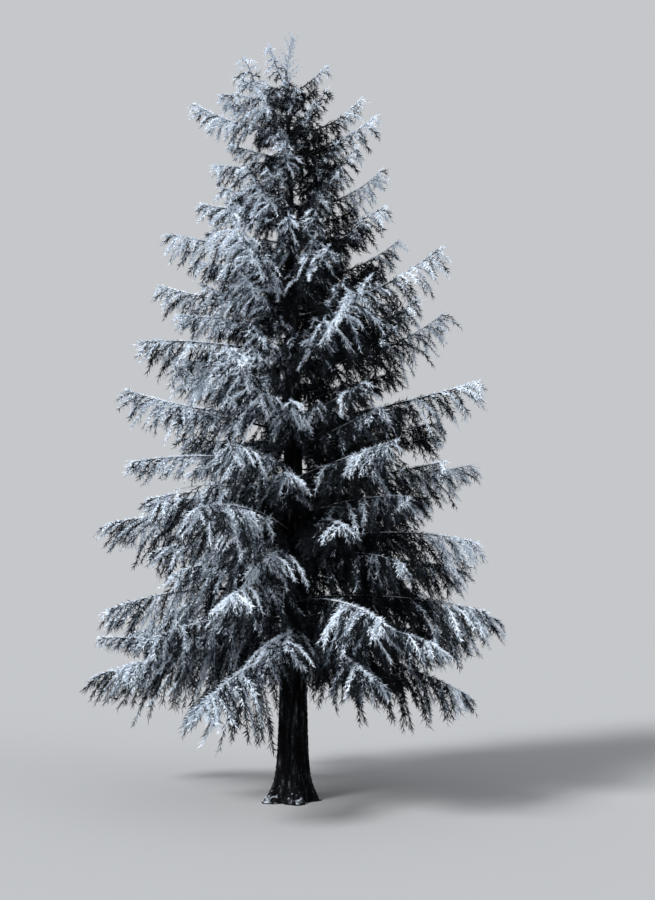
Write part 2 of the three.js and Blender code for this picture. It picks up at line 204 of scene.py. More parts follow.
# The noises of the streaks, the frost's colour, the frost's edge, the roughness and the fine grain.
STREAK_NOISE = {"scale": 16, "stretch": 0.16, "detail": 6}
FROST_NOISE = {"scale": 60, "stretch": 1, "detail": 4}
EDGE_NOISE = {"scale": 22, "stretch": 0.5, "detail": 5}
ROUGH_NOISE = {"scale": 40, "stretch": 0.4, "detail": 4}
GRAIN_NOISE = {"scale": 70, "stretch": 0.35, "detail": 6}
NOISE_ROUGHNESS = 0.62
TRUNK_FROST_FROM = 1.1  # of the upward facing and the noise together: only ledges are frosted


def bark_finish(name, frost_from):
    """Dark scaly bark: streaked up and down from near-black to grey by a noise, with pale frost
    where the surface's upward facing and another noise add up to more than a limit."""
    made = bpy.data.materials.new(name)
    made.use_nodes = True
    tree = made.node_tree
    shader = tree.nodes["Principled BSDF"]
    shader.inputs["Specular IOR Level"].default_value = DULL_SHINE

    def node(kind, links, values=(), **settings):
        """A node of a kind with its settings, the outputs that its inputs are linked to, and the
        values of its other inputs."""
        made_node = tree.nodes.new(kind)
        for key, setting in settings.items():
            setattr(made_node, key, setting)
        for key, output in links.items():
            tree.links.new(output, made_node.inputs[key])
        for key, value in dict(values).items():
            made_node.inputs[key].default_value = value
        return made_node

    def noise(scale, stretch, detail):
        """Noise on the tree's own metres, with its height scaled by the stretch."""
        place = {"Vector": metres.outputs["Object"]}
        moved = node("ShaderNodeMapping", place, {"Scale": (1, 1, stretch)})
        values = {"Scale": scale, "Detail": detail, "Roughness": NOISE_ROUGHNESS}
        return node("ShaderNodeTexNoise", {"Vector": moved.outputs["Vector"]}, values).outputs["Fac"]

    def ramp(value, stops):
        """Colours for a value, blended between the stops."""
        made_ramp = node("ShaderNodeValToRGB", {"Fac": value})
        ends = made_ramp.color_ramp.elements
        while len(ends) < len(stops):
            ends.new(0.5)
        for end, (at, colour) in zip(ends, stops):
            end.position = at
            end.color = (*colour, 1)
        return made_ramp.outputs["Color"]

    metres = node("ShaderNodeTexCoord", {})
    streaks = ramp(noise(**STREAK_NOISE), BARK_COLOURS)
    frost_colour = ramp(noise(**FROST_NOISE), BARK_FROST_COLOURS)
    normal = node("ShaderNodeNewGeometry", {}).outputs["Normal"]
    upward = node("ShaderNodeSeparateXYZ", {"Vector": normal}).outputs["Z"]
    ragged = node("ShaderNodeMath", {0: noise(**EDGE_NOISE), 1: upward}, operation="ADD")
    facing = ragged.outputs["Value"]
    past = node("ShaderNodeMath", {0: facing}, {1: frost_from}, operation="SUBTRACT")
    cover = ramp(past.outputs["Value"], FROST_EDGE)
    colours = {"Factor": cover, "A": streaks, "B": frost_colour}
    frosted = node("ShaderNodeMix", colours, data_type="RGBA")
    tree.links.new(frosted.outputs["Result"], shader.inputs["Base Color"])
    limits = {"To Min": BARK_ROUGHNESS[0], "To Max": BARK_ROUGHNESS[1]}
    rough = node("ShaderNodeMapRange", {"Value": noise(**ROUGH_NOISE)}, limits)
    tree.links.new(rough.outputs["Result"], shader.inputs["Roughness"])
    depth = {"Strength": BARK_BUMP, "Distance": BARK_BUMP_DEPTH}
    bump = node("ShaderNodeBump", {"Height": noise(**GRAIN_NOISE)}, depth)
    tree.links.new(bump.outputs["Normal"], shader.inputs["Normal"])
    return made


def bark_trunk():
    """Rings at rising heights, each a closed row of points at the trunk's radius and the bark's
    relief from the centre line, with a flat fan of triangles at the cut and at the top."""
    low = np.arange(0, BUTT_HEIGHT, BUTT_RING_SPACING)
    high = np.linspace(BUTT_HEIGHT, TRUNK_TOP, round((TRUNK_TOP - BUTT_HEIGHT) / BOLE_RING_SPACING))
    up = np.concatenate([low, high])[:, None]
    angle = (2 * np.pi * np.arange(TRUNK_COLUMNS) / TRUNK_COLUMNS)[None, :]
    up, angle = np.broadcast_arrays(up, angle)
    out = trunk_radius(up, angle) + bark_relief(up, angle)
    points = trunk_centre(up)
    points = points + np.stack([out * np.cos(angle), out * np.sin(angle), 0 * out], -1)
    rings = len(points)
    ends = trunk_centre(np.array([0.0, TRUNK_TOP]))
    points = np.concatenate([points.reshape(-1, 3), ends])
    foot, top = len(points) - 2, len(points) - 1
    column = np.arange(TRUNK_COLUMNS)
    beside = np.roll(column, -1)
    last = (rings - 1) * TRUNK_COLUMNS
    cut = np.stack([np.full_like(column, foot), beside, column], -1)
    cap = np.stack([np.full_like(column, top), last + column, last + beside], -1)
    return points, np.concatenate([ring_grid(rings, TRUNK_COLUMNS), cut, cap])


trunk = new_piece("trunk_bark", *bark_trunk(), [bark_finish("bark_of_trunk", TRUNK_FROST_FROM)])
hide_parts("trunk")
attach(trunk, "root")

# The boughs: tapering limbs in whorls up the trunk, by the rule of the solids, and smaller ones in
# the gaps between them. Low ones arch over and hang, high ones rise at the tip. Each is a closed
# tube of bark with frost along its top, rooted in the trunk.

# For the left and the right bough of each whorl: the height at the trunk, how far it reaches to the
# side, the height of its tip, and how far its middle bows up. Front and back take the mean. Then how
# many boughs the whorl has.
WHORLS = [
    ((11.02, 0.80, 11.42, 0.06), (10.96, 0.64, 11.30, -0.03), 3),
    ((10.72, 1.04, 10.70, 0.07), (10.30, 1.22, 11.24, -0.07), 3),
    ((10.33, 1.55, 11.06, -0.02), (9.80, 1.36, 10.30, -0.03), 3),
    ((9.45, 1.16, 9.48, 0.09), (9.05, 1.54, 10.04, -0.09), 3),
    ((8.90, 1.46, 9.32, 0.04), (8.42, 1.45, 8.82, -0.03), 3),
    ((8.12, 1.84, 8.24, 0.06), (7.85, 1.77, 8.78, -0.08), 3),
    ((7.45, 2.16, 8.00, -0.02), (7.20, 2.23, 8.06, -0.06), 4),
    ((6.58, 2.19, 6.56, 0.11), (6.45, 2.59, 7.70, -0.10), 4),
    ((5.65, 2.69, 6.24, -0.04), (5.50, 2.72, 6.02, 0.05), 4),
    ((4.90, 2.34, 4.82, 0.13), (4.55, 2.91, 5.04, 0.03), 4),
    ((3.83, 3.04, 4.12, 0.33), (3.62, 2.56, 3.64, 0.26), 4),
    ((2.92, 2.53, 2.72, 0.22), (2.82, 3.30, 2.56, 0.14), 4),
    ((2.10, 3.14, 1.68, 0.13), (2.05, 2.43, 1.54, 0.19), 4),
]
WHORL_TURN = 22  # degrees, as the next is
TURN_JITTER = 5
HEIGHT_JITTER = 0.09
SOURCE_SEED = 901
SOURCE_STEP = 0x6D2B79F5
SOURCE_BITS = 0xFFFFFFFF  # all the bits of a whole number below 2 to the power 32
# Smaller boughs, each with its reach as a share of the whorls' there.
GAP_REACH = 0.78  # for one between two main boughs of a whorl
GAP_WIDE = 2  # radians, from which a gap holds two of them
GAP_JITTER = 0.12  # of their spacing in the gap
BETWEEN_REACH = 0.76  # for one between two whorls
BETWEEN_SPACING = 1.1  # metres between those, round a circle of the whorls' mean reach
BETWEEN_SHARE = 0.36  # metres more, for each metre of that reach
BETWEEN_JITTER = 0.2  # of their spacing
BETWEEN_ROWS = (0.35, 0.65)  # of the way from one whorl to the next, by chance
INNER_REACH = 0.48  # for the short ones that fill the crown's inside
INNER_COUNT = 7
INNER_JITTER = 0.25  # of their spacing
TOP_SHARE = 0.6  # of those reaches, at the top whorl, and how much more for each row, to the whole
TOP_GROWTH = 0.15
LOW_ROW = 7  # below this row they go past the whole, by so much for each row
LOW_GROWTH = 0.03
FOOT_SHIFT = 0.16  # up or down by chance
REACH_CHANCE = (0.86, 1.08)  # of the reach, and the next of the rise, by chance
RISE_CHANCE = (0.5, 1.1)
FILLING_SEED = 31
# Two that the photo shows between the whorls, a full one on the right and a thin low one that stands
# clear of the others on the left: row, way, foot, reach, tip, bow.
FULL_BOUGH = (8.45, 0.1, 5.16, 2.3, 5.62, 0.06)
THIN_BOUGH = (11.6, math.pi, 2.42, 2.84, 2.32, -0.08)
THIN_CURTAIN = 0.5
# The shares of the reach, the rise and the bow at the four control points of a bough's curve.
BOUGH_CONTROLS = [(0, 0, 0), (0.33, 0.15, 1), (0.7, 0.5, 1), (1, 1, 0)]
FULL_REACH = 2.6  # of a bough of size 1; a shorter one's size is its share of it, to a least
LEAST_SIZE = 0.26
CURTAIN_SIZE = (0.12, 0.88)  # how long its shoots are: a part for every bough, and one by its size
LOW_CURTAIN = 0.35  # more for the lowest rows, whose curtains hang deepest, from this row down
LOW_CURTAIN_ROW = 9.5
LIMB_WHORLS = 3
LIMB_BARE_SHARE = 0.2  # of a low limb, before its first shoots
BOUGH_BARE_SHARE = 0.06
BARE_STRETCH = 0.075  # metres more, of any bough
BOUGH_ROOT_RADIUS = 0.047  # of a main bough of size 1, and less by its size, to a least
LEAST_THICK_SIZE = 0.45
FILLING_THICKNESS = 0.62  # of a main bough's
TRUNK_HOLDS = 0.6  # of the trunk's radius, that a bough may have there
BOUGH_TIP_RADIUS = 0.004
BOUGH_TAPER_POWER = 1.5
KNOBBLY = (0.86, 1.14)  # of the radius, by chance
KNOB_SEED = 41
BOUGH_POINTS = 16
BOUGH_SIDES = 6
FROSTED_SHARE = 0.4  # of the way out, where thick frost begins
THIN_FROST_FROM = 1.0  # limits of the frost, as for the trunk
THICK_FROST_FROM = 0.5


def source_random(seed):
    """The solids' own run of seeded numbers from 0 to 1: a 32-bit state steps on by a fixed amount,
    and is mixed by shifts and products."""
    state = seed

    def product(a, b):
        """The last 32 bits of a product."""
        return (a * b) & SOURCE_BITS

    while True:
        state = (state + SOURCE_STEP) & SOURCE_BITS
        mixed = product(state ^ (state >> 15), 1 | state)
        mixed = ((mixed + product(mixed ^ (mixed >> 7), 61 | mixed)) & SOURCE_BITS) ^ mixed
        yield ((mixed ^ (mixed >> 14)) & SOURCE_BITS) / 2**32


def whorl_boughs():
    """The main boughs as the solids have them: (whorl, way in radians, foot, reach, tip, bow) each,
    right, left, front and back of the trunk, with every other whorl turned the other way. Whorls of
    three have no back bough and no front one by turns."""
    rows = []
    for number, (left, right, count) in enumerate(WHORLS):
        numbers = source_random(SOURCE_SEED + number)
        mean = [(a + b) / 2 for a, b in zip(left, right)]
        ways = [(0, right), (180, left), (270, mean), (90, mean)]
        if count == 3:
            del ways[2 if number % 2 else 3]
        turn = WHORL_TURN if number % 2 else -WHORL_TURN
        for k, (degrees, (foot, side_reach, tip, bow)) in enumerate(ways):
            shift = 0 if k < 2 else HEIGHT_JITTER * (2 * next(numbers) - 1)
            turned = math.radians(turn + TURN_JITTER * (2 * next(numbers) - 1))
            reach = side_reach / math.cos(turned)
            way = turned + math.radians(degrees)
            rows.append((number, way, foot + shift, reach, tip + shift, bow))
    return rows


def sizes_towards(row, way):
    """Foot, reach, tip and bow of a bough that points any way from a place in the table, between
    two whorls where the row isn't whole: the right and left sizes mixed by the way's cosine."""
    low = min(int(row), len(WHORLS) - 2)
    part = row - low
    left, right = (
        np.array(WHORLS[low][side]) * (1 - part) + np.array(WHORLS[low + 1][side]) * part
        for side in (0, 1)
    )
    rightward = (1 + math.cos(way)) / 2
    return left * (1 - rightward) + right * rightward


def filling_boughs(main):
    """Smaller boughs in the gaps: one or two between each two neighbours of a whorl, a ring of them
    between each two whorls, short ones inside the crown, and the two single ones. Each is (row in
    the table, way, foot, reach, tip, bow)."""
    random = np.random.default_rng(FILLING_SEED)
    rows = []

    def add(row, way, share):
        """One bough of the size that the table gives there, its reach and rise cut to a share that
        goes by the row, with some chance."""
        foot, reach, tip, bow = sizes_towards(row, way)
        shift = random.uniform(-FOOT_SHIFT, FOOT_SHIFT)
        share = share * min(1, TOP_SHARE + TOP_GROWTH * row)
        share = share * (1 + LOW_GROWTH * max(0, row - LOW_ROW))
        reach = reach * share * random.uniform(*REACH_CHANCE)
        rise = (tip - foot) * share * random.uniform(*RISE_CHANCE)
        rows.append((row, way, foot + shift, reach, foot + shift + rise, bow))

    for number in range(len(WHORLS)):
        ways = sorted(row[1] % (2 * math.pi) for row in main if row[0] == number)
        for way, after in zip(ways, ways[1:] + [ways[0] + 2 * math.pi]):
            steps = 2 if after - way < GAP_WIDE else 3
            for step in range(1, steps):
                place = step + random.uniform(-GAP_JITTER, GAP_JITTER)
                add(number, way + (after - way) * place / steps, GAP_REACH)
    for number in range(len(WHORLS) - 1):
        start = random.uniform(0, 2 * math.pi)
        mean_reach = sizes_towards(number + 0.5, math.pi / 2)[1]
        count = round(2 * math.pi * mean_reach / (BETWEEN_SPACING + BETWEEN_SHARE * mean_reach))
        for k in range(count):
            place = k + random.uniform(-BETWEEN_JITTER, BETWEEN_JITTER)
            way = start + 2 * math.pi * place / count
            add(number + random.uniform(*BETWEEN_ROWS), way, BETWEEN_REACH)
        for k in range(INNER_COUNT):
            place = k + 0.5 + random.uniform(-INNER_JITTER, INNER_JITTER)
            way = start + 2 * math.pi * place / INNER_COUNT
            add(number + random.uniform(0, 1), way, INNER_REACH)
    return rows + [FULL_BOUGH, THIN_BOUGH]


def bough_controls(rows):
    """The four control points of each bough's cubic curve: the root on the trunk's centre, two
    points that lift by the bow, and the tip."""
    way, foot, reach, tip, bow = rows.T[1:]
    root = trunk_centre(foot)
    out = np.stack([np.cos(way), np.sin(way), 0 * way], -1)
    rise = tip - foot
    upward = np.array([0, 0, 1.0])
    points = [
        root + out * (reach * far)[:, None] + upward * (high * rise + lift * bow)[:, None]
        for far, high, lift in BOUGH_CONTROLS
    ]
    return np.stack(points, 1)


def along_curve(controls, share):
    """Points and unit directions at a share of the way along cubic curves, by the curve's four
    weights and by the three weights of its slope."""
    s = share[..., None]
    a, b, c, d = (controls[..., i, :] for i in range(4))
    point = a * (1 - s) ** 3 + 3 * b * s * (1 - s) ** 2 + 3 * c * s**2 * (1 - s) + d * s**3
    slope = (b - a) * (1 - s) ** 2 + 2 * (c - b) * s * (1 - s) + (d - c) * s**2
    return point, slope / np.linalg.norm(slope, axis=-1, keepdims=True)


def tapering_limbs(points, radii, sideways, sides):
    """Closed tapering tubes along rows of points, and how many triangles each has. A ring lies round
    each point but the last, in the plane of the limb's own sideways direction and that direction's
    cross product with its path. The last point closes the tip, and a fan closes the root."""
    paths = np.gradient(points, axis=1)
    paths /= np.linalg.norm(paths, axis=-1, keepdims=True)
    across = np.broadcast_to(sideways[:, None], points.shape)
    over = np.cross(across, paths)
    angle = (2 * np.pi * np.arange(sides) / sides)[:, None]
    ring = np.cos(angle) * across[:, :-1, None] + np.sin(angle) * over[:, :-1, None]
    ring = points[:, :-1, None] + radii[:, :-1, None, None] * ring
    count, rings = ring.shape[:2]
    tip = rings * sides
    vertices = np.concatenate([ring.reshape(count, tip, 3), points[:, -1:]], 1)
    column = np.arange(sides)
    beside = np.roll(column, -1)
    end = np.stack([tip - sides + column, tip - sides + beside, np.full(sides, tip)], -1)
    root = np.stack([np.zeros(sides - 2, int), column[2:], column[1:-1]], -1)
    faces = np.concatenate([ring_grid(rings, sides), end, root])
    step = (np.arange(count) * (tip + 1))[:, None, None]
    return vertices.reshape(-1, 3), (faces[None] + step).reshape(-1, 3), len(faces)


main_boughs = whorl_boughs()
boughs = np.array(main_boughs + filling_boughs(main_boughs))
is_main = np.arange(len(boughs)) < len(main_boughs)
bough_row = boughs[:, 0]
bough_reach = boughs[:, 3]
bough_size = np.clip(bough_reach / FULL_REACH, LEAST_SIZE, 1)


def by_size(parts, bough=slice(None)):
    """A value that has one part for every bough and one part that goes by the bough's size."""
    return parts[0] + parts[1] * bough_size[bough]


bough_curtain = by_size(CURTAIN_SIZE) + LOW_CURTAIN * (bough_row > LOW_CURTAIN_ROW)
bough_curtain *= np.minimum(1, TOP_SHARE + TOP_GROWTH * bough_row)
bough_curtain[-1] = THIN_CURTAIN
bough_curve = bough_controls(boughs)
bough_is_limb = is_main & (bough_row >= len(WHORLS) - LIMB_WHORLS)
bough_bare = np.where(bough_is_limb, LIMB_BARE_SHARE, BOUGH_BARE_SHARE) + BARE_STRETCH / bough_reach


def bough_radius(bough, share):
    """The radius at a share of the way along a bough: it thins from root to tip by a power of the
    way that is left, and the root is no thicker than the trunk can hold."""
    thickness = np.where(is_main[bough], 1, FILLING_THICKNESS)
    root = BOUGH_ROOT_RADIUS * np.maximum(bough_size, LEAST_THICK_SIZE)[bough] * thickness
    root = np.minimum(root, TRUNK_HOLDS * trunk_radius(boughs[bough, 2], 0.0))
    return BOUGH_TIP_RADIUS + (root - BOUGH_TIP_RADIUS) * (1 - share) ** BOUGH_TAPER_POWER


def bark_boughs():
    """One tube along each bough's curve, a little knobbly, turned about the level direction that is
    square to its way."""
    share = np.broadcast_to(np.linspace(0, 1, BOUGH_POINTS), (len(boughs), BOUGH_POINTS))
    points, _ = along_curve(bough_curve[:, None], share)
    radii = bough_radius(np.arange(len(boughs))[:, None], share)
    radii = radii * np.random.default_rng(KNOB_SEED).uniform(*KNOBBLY, radii.shape)
    way = boughs[:, 1]
    sideways = np.stack([np.sin(way), -np.cos(way), 0 * way], -1)
    return tapering_limbs(points, radii, sideways, BOUGH_SIDES)[:2]


bough_points, bough_faces = bark_boughs()
# The number of the ring that each triangle starts from, counted from its bough's root.
bough_ring = bough_faces[:, 0] % (BOUGH_SIDES * (BOUGH_POINTS - 1) + 1) // BOUGH_SIDES
limbs = new_piece(
    "bough_bark",
    bough_points,
    bough_faces,
    [
        bark_finish("bark_near_trunk", THIN_FROST_FROM),
        bark_finish("bark_frosted", THICK_FROST_FROM),
    ],
    bough_ring > FROSTED_SHARE * BOUGH_POINTS,
)
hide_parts(*(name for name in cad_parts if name.startswith("bough_")))
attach(limbs, "root")

# The side shoots: what makes the boughs of this tree hang like curtains. They leave a bough to both
# sides by turns and below it, start off along the bough's own slope, and turn down under their own
# weight. They are thin wood in the tone of their spray, from near-black painted shade to white frost
# and painted light, and each carries twigs.

# Their spacing and greatest length in metres, and between which degrees they point ahead of square
# to the bough, and dip at their start.
SIDE_SHOOTS = {"spacing": 0.079, "length": 0.86, "ahead": (28, 62), "dip": (0, 22)}
FRINGE_SHOOTS = {"spacing": 0.165, "length": 0.8, "ahead": (10, 60), "dip": (40, 66)}
EVEN_PART = 0.55  # of that length, and the part that goes by a sine along the bough
WAVE_PART = 0.45
WAVE_FROM = 0.2  # of a half turn, at the bough's foot, and over how much of it the bough goes
WAVE_OVER = 0.7
DWINDLING = 0.42  # of the length, that is lost at the bough's tip
DWINDLING_POWER = 4
CURVED_LENGTH = 1.06  # of a bough, along its curve, for each metre that it reaches
SPACING_SIZE = (0.62, 0.38)  # of the spacing, for every bough and by its size
LEAST_SHOOTS = 2
SHOOT_PLACE = (0.2, 0.8)  # by chance, of its own stretch of the bough
OUTWARD_POWER = 0.76  # below 1, so that the shoots crowd towards the bough's end
LAST_SHOOT = 0.985  # of the way along the bough
END_DIP = (54, 84)  # degrees below level at a shoot's end, and how much less at the bough's tip
END_DIP_LESS = 22
END_DIP_POWER = 3
SHOOT_CHANCE_LENGTH = (0.55, 1.12)  # of the length, by chance
FILLING_LENGTH = 0.92  # of the length, on the smaller boughs
ROOM_SHARE = 0.7  # of a shoot's way ahead, that has to fit before the bough's tip
TIP_LENGTH = 0.28  # that a shoot at the bough's own tip may have, and more for each metre before it
TIP_GROWTH = 0.66
BEND_POWER = 0.8  # below 1, so that a shoot bends most near its start
SHOOT_POINTS = 4
SHOOT_SEED = 51
DOWN = np.array([0, 0, -1.0])
# Places that stay open in the crown, as seen from the camera: across, up, half the width and half
# the height of each. The last one lets the trunk be seen between the lowest curtains.
OPENINGS = [
    (-0.57, 5.50, 0.16, 0.08),
    (1.73, 5.06, 0.28, 0.07),
    (0.70, 6.47, 0.08, 0.06),
    (-1.78, 4.60, 0.62, 0.11),
    (0.02, 1.40, 0.24, 0.34),
]
CAMERA_DISTANCE = 15.10  # before the trunk
CAMERA_HEIGHT = 2.717
OPENING_RAGGED = (0.1, 1.9)  # the square of how far out an opening's edge lies, by chance
OPENING_SEED = 48
OPENING_SHARES = (0.5, 0.8)  # of a shoot, when its third or its last point lies in one


def set_along(lengths, spacing, least, place, random):
    """What stands along parents of these lengths, as many as their spacing gives and no fewer than
    the least: the parent of each, its order there, and its share of the way, which is at a random
    place in its own stretch."""
    counts = np.maximum(least, np.round(lengths / spacing)).astype(int)
    parent = np.repeat(np.arange(len(counts)), counts)
    order = np.arange(counts.sum()) - np.repeat(np.cumsum(counts) - counts, counts)
    share = (order + random.uniform(*place, len(order))) / counts[parent]
    return parent, order, share


def spray_share(share):
    """How long a side shoot is, as a share of the longest, by the solids' rule: an even part and a
    sine that is greatest in the middle of the bough, dwindling by a power over its last third."""
    wave = np.sin(np.pi * (WAVE_FROM + WAVE_OVER * share))
    return (EVEN_PART + WAVE_PART * wave) * (1 - DWINDLING * share**DWINDLING_POWER)


def unit(vectors):
    """Each vector divided by its own length."""
    return vectors / np.linalg.norm(vectors, axis=-1, keepdims=True)


def hanging_paths(root, level, first_dip, last_dip, length, count):
    """Rows of points that start at a dip below the level and bend down to another, all in the
    upright plane of their level direction: the sum of equal steps along the turning way."""
    share = (np.arange(count - 1) + 0.5) / (count - 1)
    dip = first_dip[:, None] + (last_dip - first_dip)[:, None] * share**BEND_POWER
    step = np.cos(dip)[..., None] * level[:, None] + np.sin(dip)[..., None] * DOWN
    step = step * (length / (count - 1))[:, None, None]
    ahead = np.concatenate([np.zeros_like(step[:, :1]), np.cumsum(step, 1)], 1)
    return root[:, None] + ahead


def side_shoots():
    """All shoots of all boughs, as arrays: the bough of each, its share of the way along, its path,
    the level way that it points, and its length. A length is the rule's share of the longest, by
    the bough's own curtain and chance, cut to the room before the bough's tip."""
    random = np.random.default_rng(SHOOT_SEED)
    parts = []
    curve_length = bough_reach * CURVED_LENGTH * (1 - bough_bare)
    for kind in (SIDE_SHOOTS, FRINGE_SHOOTS):
        near = kind["spacing"] * by_size(SPACING_SIZE)
        bough, order, share = set_along(curve_length, near, LEAST_SHOOTS, SHOOT_PLACE, random)
        share = share**OUTWARD_POWER
        at = bough_bare[bough] + (LAST_SHOOT - bough_bare[bough]) * share
        root, heading = along_curve(bough_curve[bough], at)
        ahead = unit(heading * [1, 1, 0])
        side = np.where(order % 2, 1.0, -1.0)[:, None]
        sideways = np.cross(ahead, -DOWN) * side
        sweep = np.radians(random.uniform(*kind["ahead"], len(at)))
        level = np.sin(sweep)[:, None] * ahead + np.cos(sweep)[:, None] * sideways
        slope = np.arcsin(np.clip(heading[:, 2], -1, 1)) * np.sin(sweep)
        first_dip = np.radians(random.uniform(*kind["dip"], len(at))) - slope
        last_dip = random.uniform(*END_DIP, len(at)) - END_DIP_LESS * share**END_DIP_POWER
        last_dip = np.radians(last_dip)
        length = kind["length"] * bough_curtain[bough] * spray_share(at)
        length *= random.uniform(*SHOOT_CHANCE_LENGTH, len(at))
        length *= np.where(is_main[bough], 1, FILLING_LENGTH)
        room = bough_reach[bough] * (1 - at)
        length = np.minimum(length, room / (ROOM_SHARE * np.sin(sweep)))
        length = np.minimum(length, TIP_LENGTH + TIP_GROWTH * room)
        path = hanging_paths(root, level, first_dip, last_dip, length, SHOOT_POINTS)
        parts.append((bough, at, path, level, length))
    return [np.concatenate(column) for column in zip(*parts)]


def in_opening(points):
    """Whether each point lies in one of the places that stay open: ellipses with ragged edges,
    across and up in the plane of the trunk, with each point moved there along its line of sight."""
    ragged = np.random.default_rng(OPENING_SEED).uniform(*OPENING_RAGGED, len(points))
    scale = CAMERA_DISTANCE / (CAMERA_DISTANCE + points[:, 1])
    across = points[:, 0] * scale
    up = CAMERA_HEIGHT + (points[:, 2] - CAMERA_HEIGHT) * scale
    in_each = [
        ((across - x) / wide) ** 2 + ((up - z) / high) ** 2 < ragged for x, z, wide, high in OPENINGS
    ]
    return np.any(in_each, 0)


def clear_of_openings(bough, at, path, level, length):
    """The shoots whose first two points lie in no opening, each made smaller as a whole until it
    ends before the first of its points that lies in one."""
    inside = np.stack([in_opening(path[:, i]) for i in range(SHOOT_POINTS)], 1)
    first = np.where(inside.any(1), inside.argmax(1), SHOOT_POINTS)
    share = np.array([0, 0, *OPENING_SHARES, 1])[first]
    path = path[:, :1] + (path - path[:, :1]) * share[:, None, None]
    kept = share > 0
    return [column[kept] for column in (bough, at, path, level, length * share)]


shoot_bough, shoot_at, shoot_path, shoot_level, shoot_length = clear_of_openings(*side_shoots())

# The twigs: short straight shoots to both sides of every side shoot, sagging a little, others that
# stand along the top of each bough and at its tip, and the ring of shoots round the leader. They are
# the thinnest wood, and what the needles stand on.
TWIG_SPACING = 0.052
TWIG_SPACING_SIZE = (0.7, 0.3)  # of the spacing, for every bough and by its size
LEAST_TWIGS = 3
TWIG_PLACE = (0.1, 0.9)  # by chance, of its own stretch of the shoot
TWIG_LENGTH = 0.16
TWIG_SIZE = (0.5, 0.5)  # of the length, for every bough and by its size
TWIG_CHANCE_LENGTH = (0.7, 1.15)  # by chance
TWIG_LENGTH_LESS = (1.08, 0.5)  # of it at the shoot's start, and how much less at its end
TWIG_LENGTH_POWER = 3
TWIG_FROM = 0.03  # of a shoot, where its twigs start, and over how much of it they go on
TWIG_OVER = 0.95
TWIG_ROLL = (-48, 48)  # degrees about the shoot
TWIG_LEAN = (12, 34)  # degrees from the shoot, by a factor that lessens towards the shoot's end
TWIG_LEAN_LESS = (1.15, 0.55)
TWIG_SAG = 0.25  # down, for each unit of its way
TWIG_SEED = 61
# The same for the twigs on top of the boughs.
RIDGE_SPACING = 0.03
LEAST_RIDGE_TWIGS = 4
RIDGE_OUTWARD_POWER = 0.85
RIDGE_LENGTH = 0.145
RIDGE_SIZE = (0.65, 0.35)
RIDGE_CHANCE_LENGTH = (0.6, 1.25)
RIDGE_LENGTH_LESS = (1, 0.5)
RIDGE_SPREAD = (56, 34)  # degrees to each side of the bough, and how much less at its tip
RIDGE_SPREAD_POWER = 2
RIDGE_RISE = (-30, 20)  # degrees above the bough's own way
RIDGE_SEED = 62
# And for those round the leader.
LEADER_SHOOTS = 44
LEADER_SHOOT_LENGTH = 0.3
LEADER_LENGTH_LESS = (1.15, 0.75)
LEADER_CHANCE_LENGTH = (0.8, 1.1)
LEADER_BELOW_TOP = 0.25  # metres under the trunk's top, where its shoots begin
LEADER_CLEAR_TOP = 0.05  # metres under the tree's top, where they end
LEADER_RISE = (28, 66)  # degrees above the level
LEADER_TURN = 2.4  # radians from one shoot to the next
LEADER_SEED = 63


def on_path(path, share):
    """The point and unit direction at a share of the way along each row of points, by a straight
    line between the two points that the share, which is below 1, falls between."""
    place = share * (path.shape[1] - 1)
    i = place.astype(int)
    rows = np.arange(len(path))
    start, end = path[rows, i], path[rows, i + 1]
    return start + (end - start) * (place - i)[:, None], unit(end - start)


def lessening(parts, share):
    """A value whose first part is whole at the start, and whose second part is taken off, in a
    straight line, by the end."""
    return parts[0] - parts[1] * share


def clear_twigs(root, way, length, parent):
    """The twigs whose root and end lie in no opening."""
    kept = ~in_opening(root) & ~in_opening(root + way * length[:, None])
    return root[kept], way[kept], length[kept], parent[kept]


def side_twigs():
    """Twigs of the side shoots: root, direction and length of each, and its shoot. A twig leans out
    from its shoot, the less the nearer the shoot's end, to one side or the other, rolled about it,
    and sags."""
    random = np.random.default_rng(TWIG_SEED)
    near = TWIG_SPACING * by_size(TWIG_SPACING_SIZE, shoot_bough)
    shoot, order, share = set_along(shoot_length, near, LEAST_TWIGS, TWIG_PLACE, random)
    share = TWIG_FROM + TWIG_OVER * share
    root, along = on_path(shoot_path[shoot], share)
    normal = np.cross(shoot_level[shoot], DOWN)
    upper = np.cross(normal, along)
    roll = np.radians(random.uniform(*TWIG_ROLL, len(root)))[:, None]
    side = np.where(order % 2, 1.0, -1.0)[:, None]
    outward = (np.cos(roll) * normal + np.sin(roll) * upper) * side
    lean = random.uniform(*TWIG_LEAN, len(root)) * lessening(TWIG_LEAN_LESS, share)
    lean = np.radians(lean)[:, None]
    way = unit(np.cos(lean) * along + np.sin(lean) * outward + TWIG_SAG * DOWN)
    length = TWIG_LENGTH * by_size(TWIG_SIZE, shoot_bough[shoot])
    length *= lessening(TWIG_LENGTH_LESS, share**TWIG_LENGTH_POWER)
    length *= random.uniform(*TWIG_CHANCE_LENGTH, len(root))
    return clear_twigs(root, way, length, shoot)


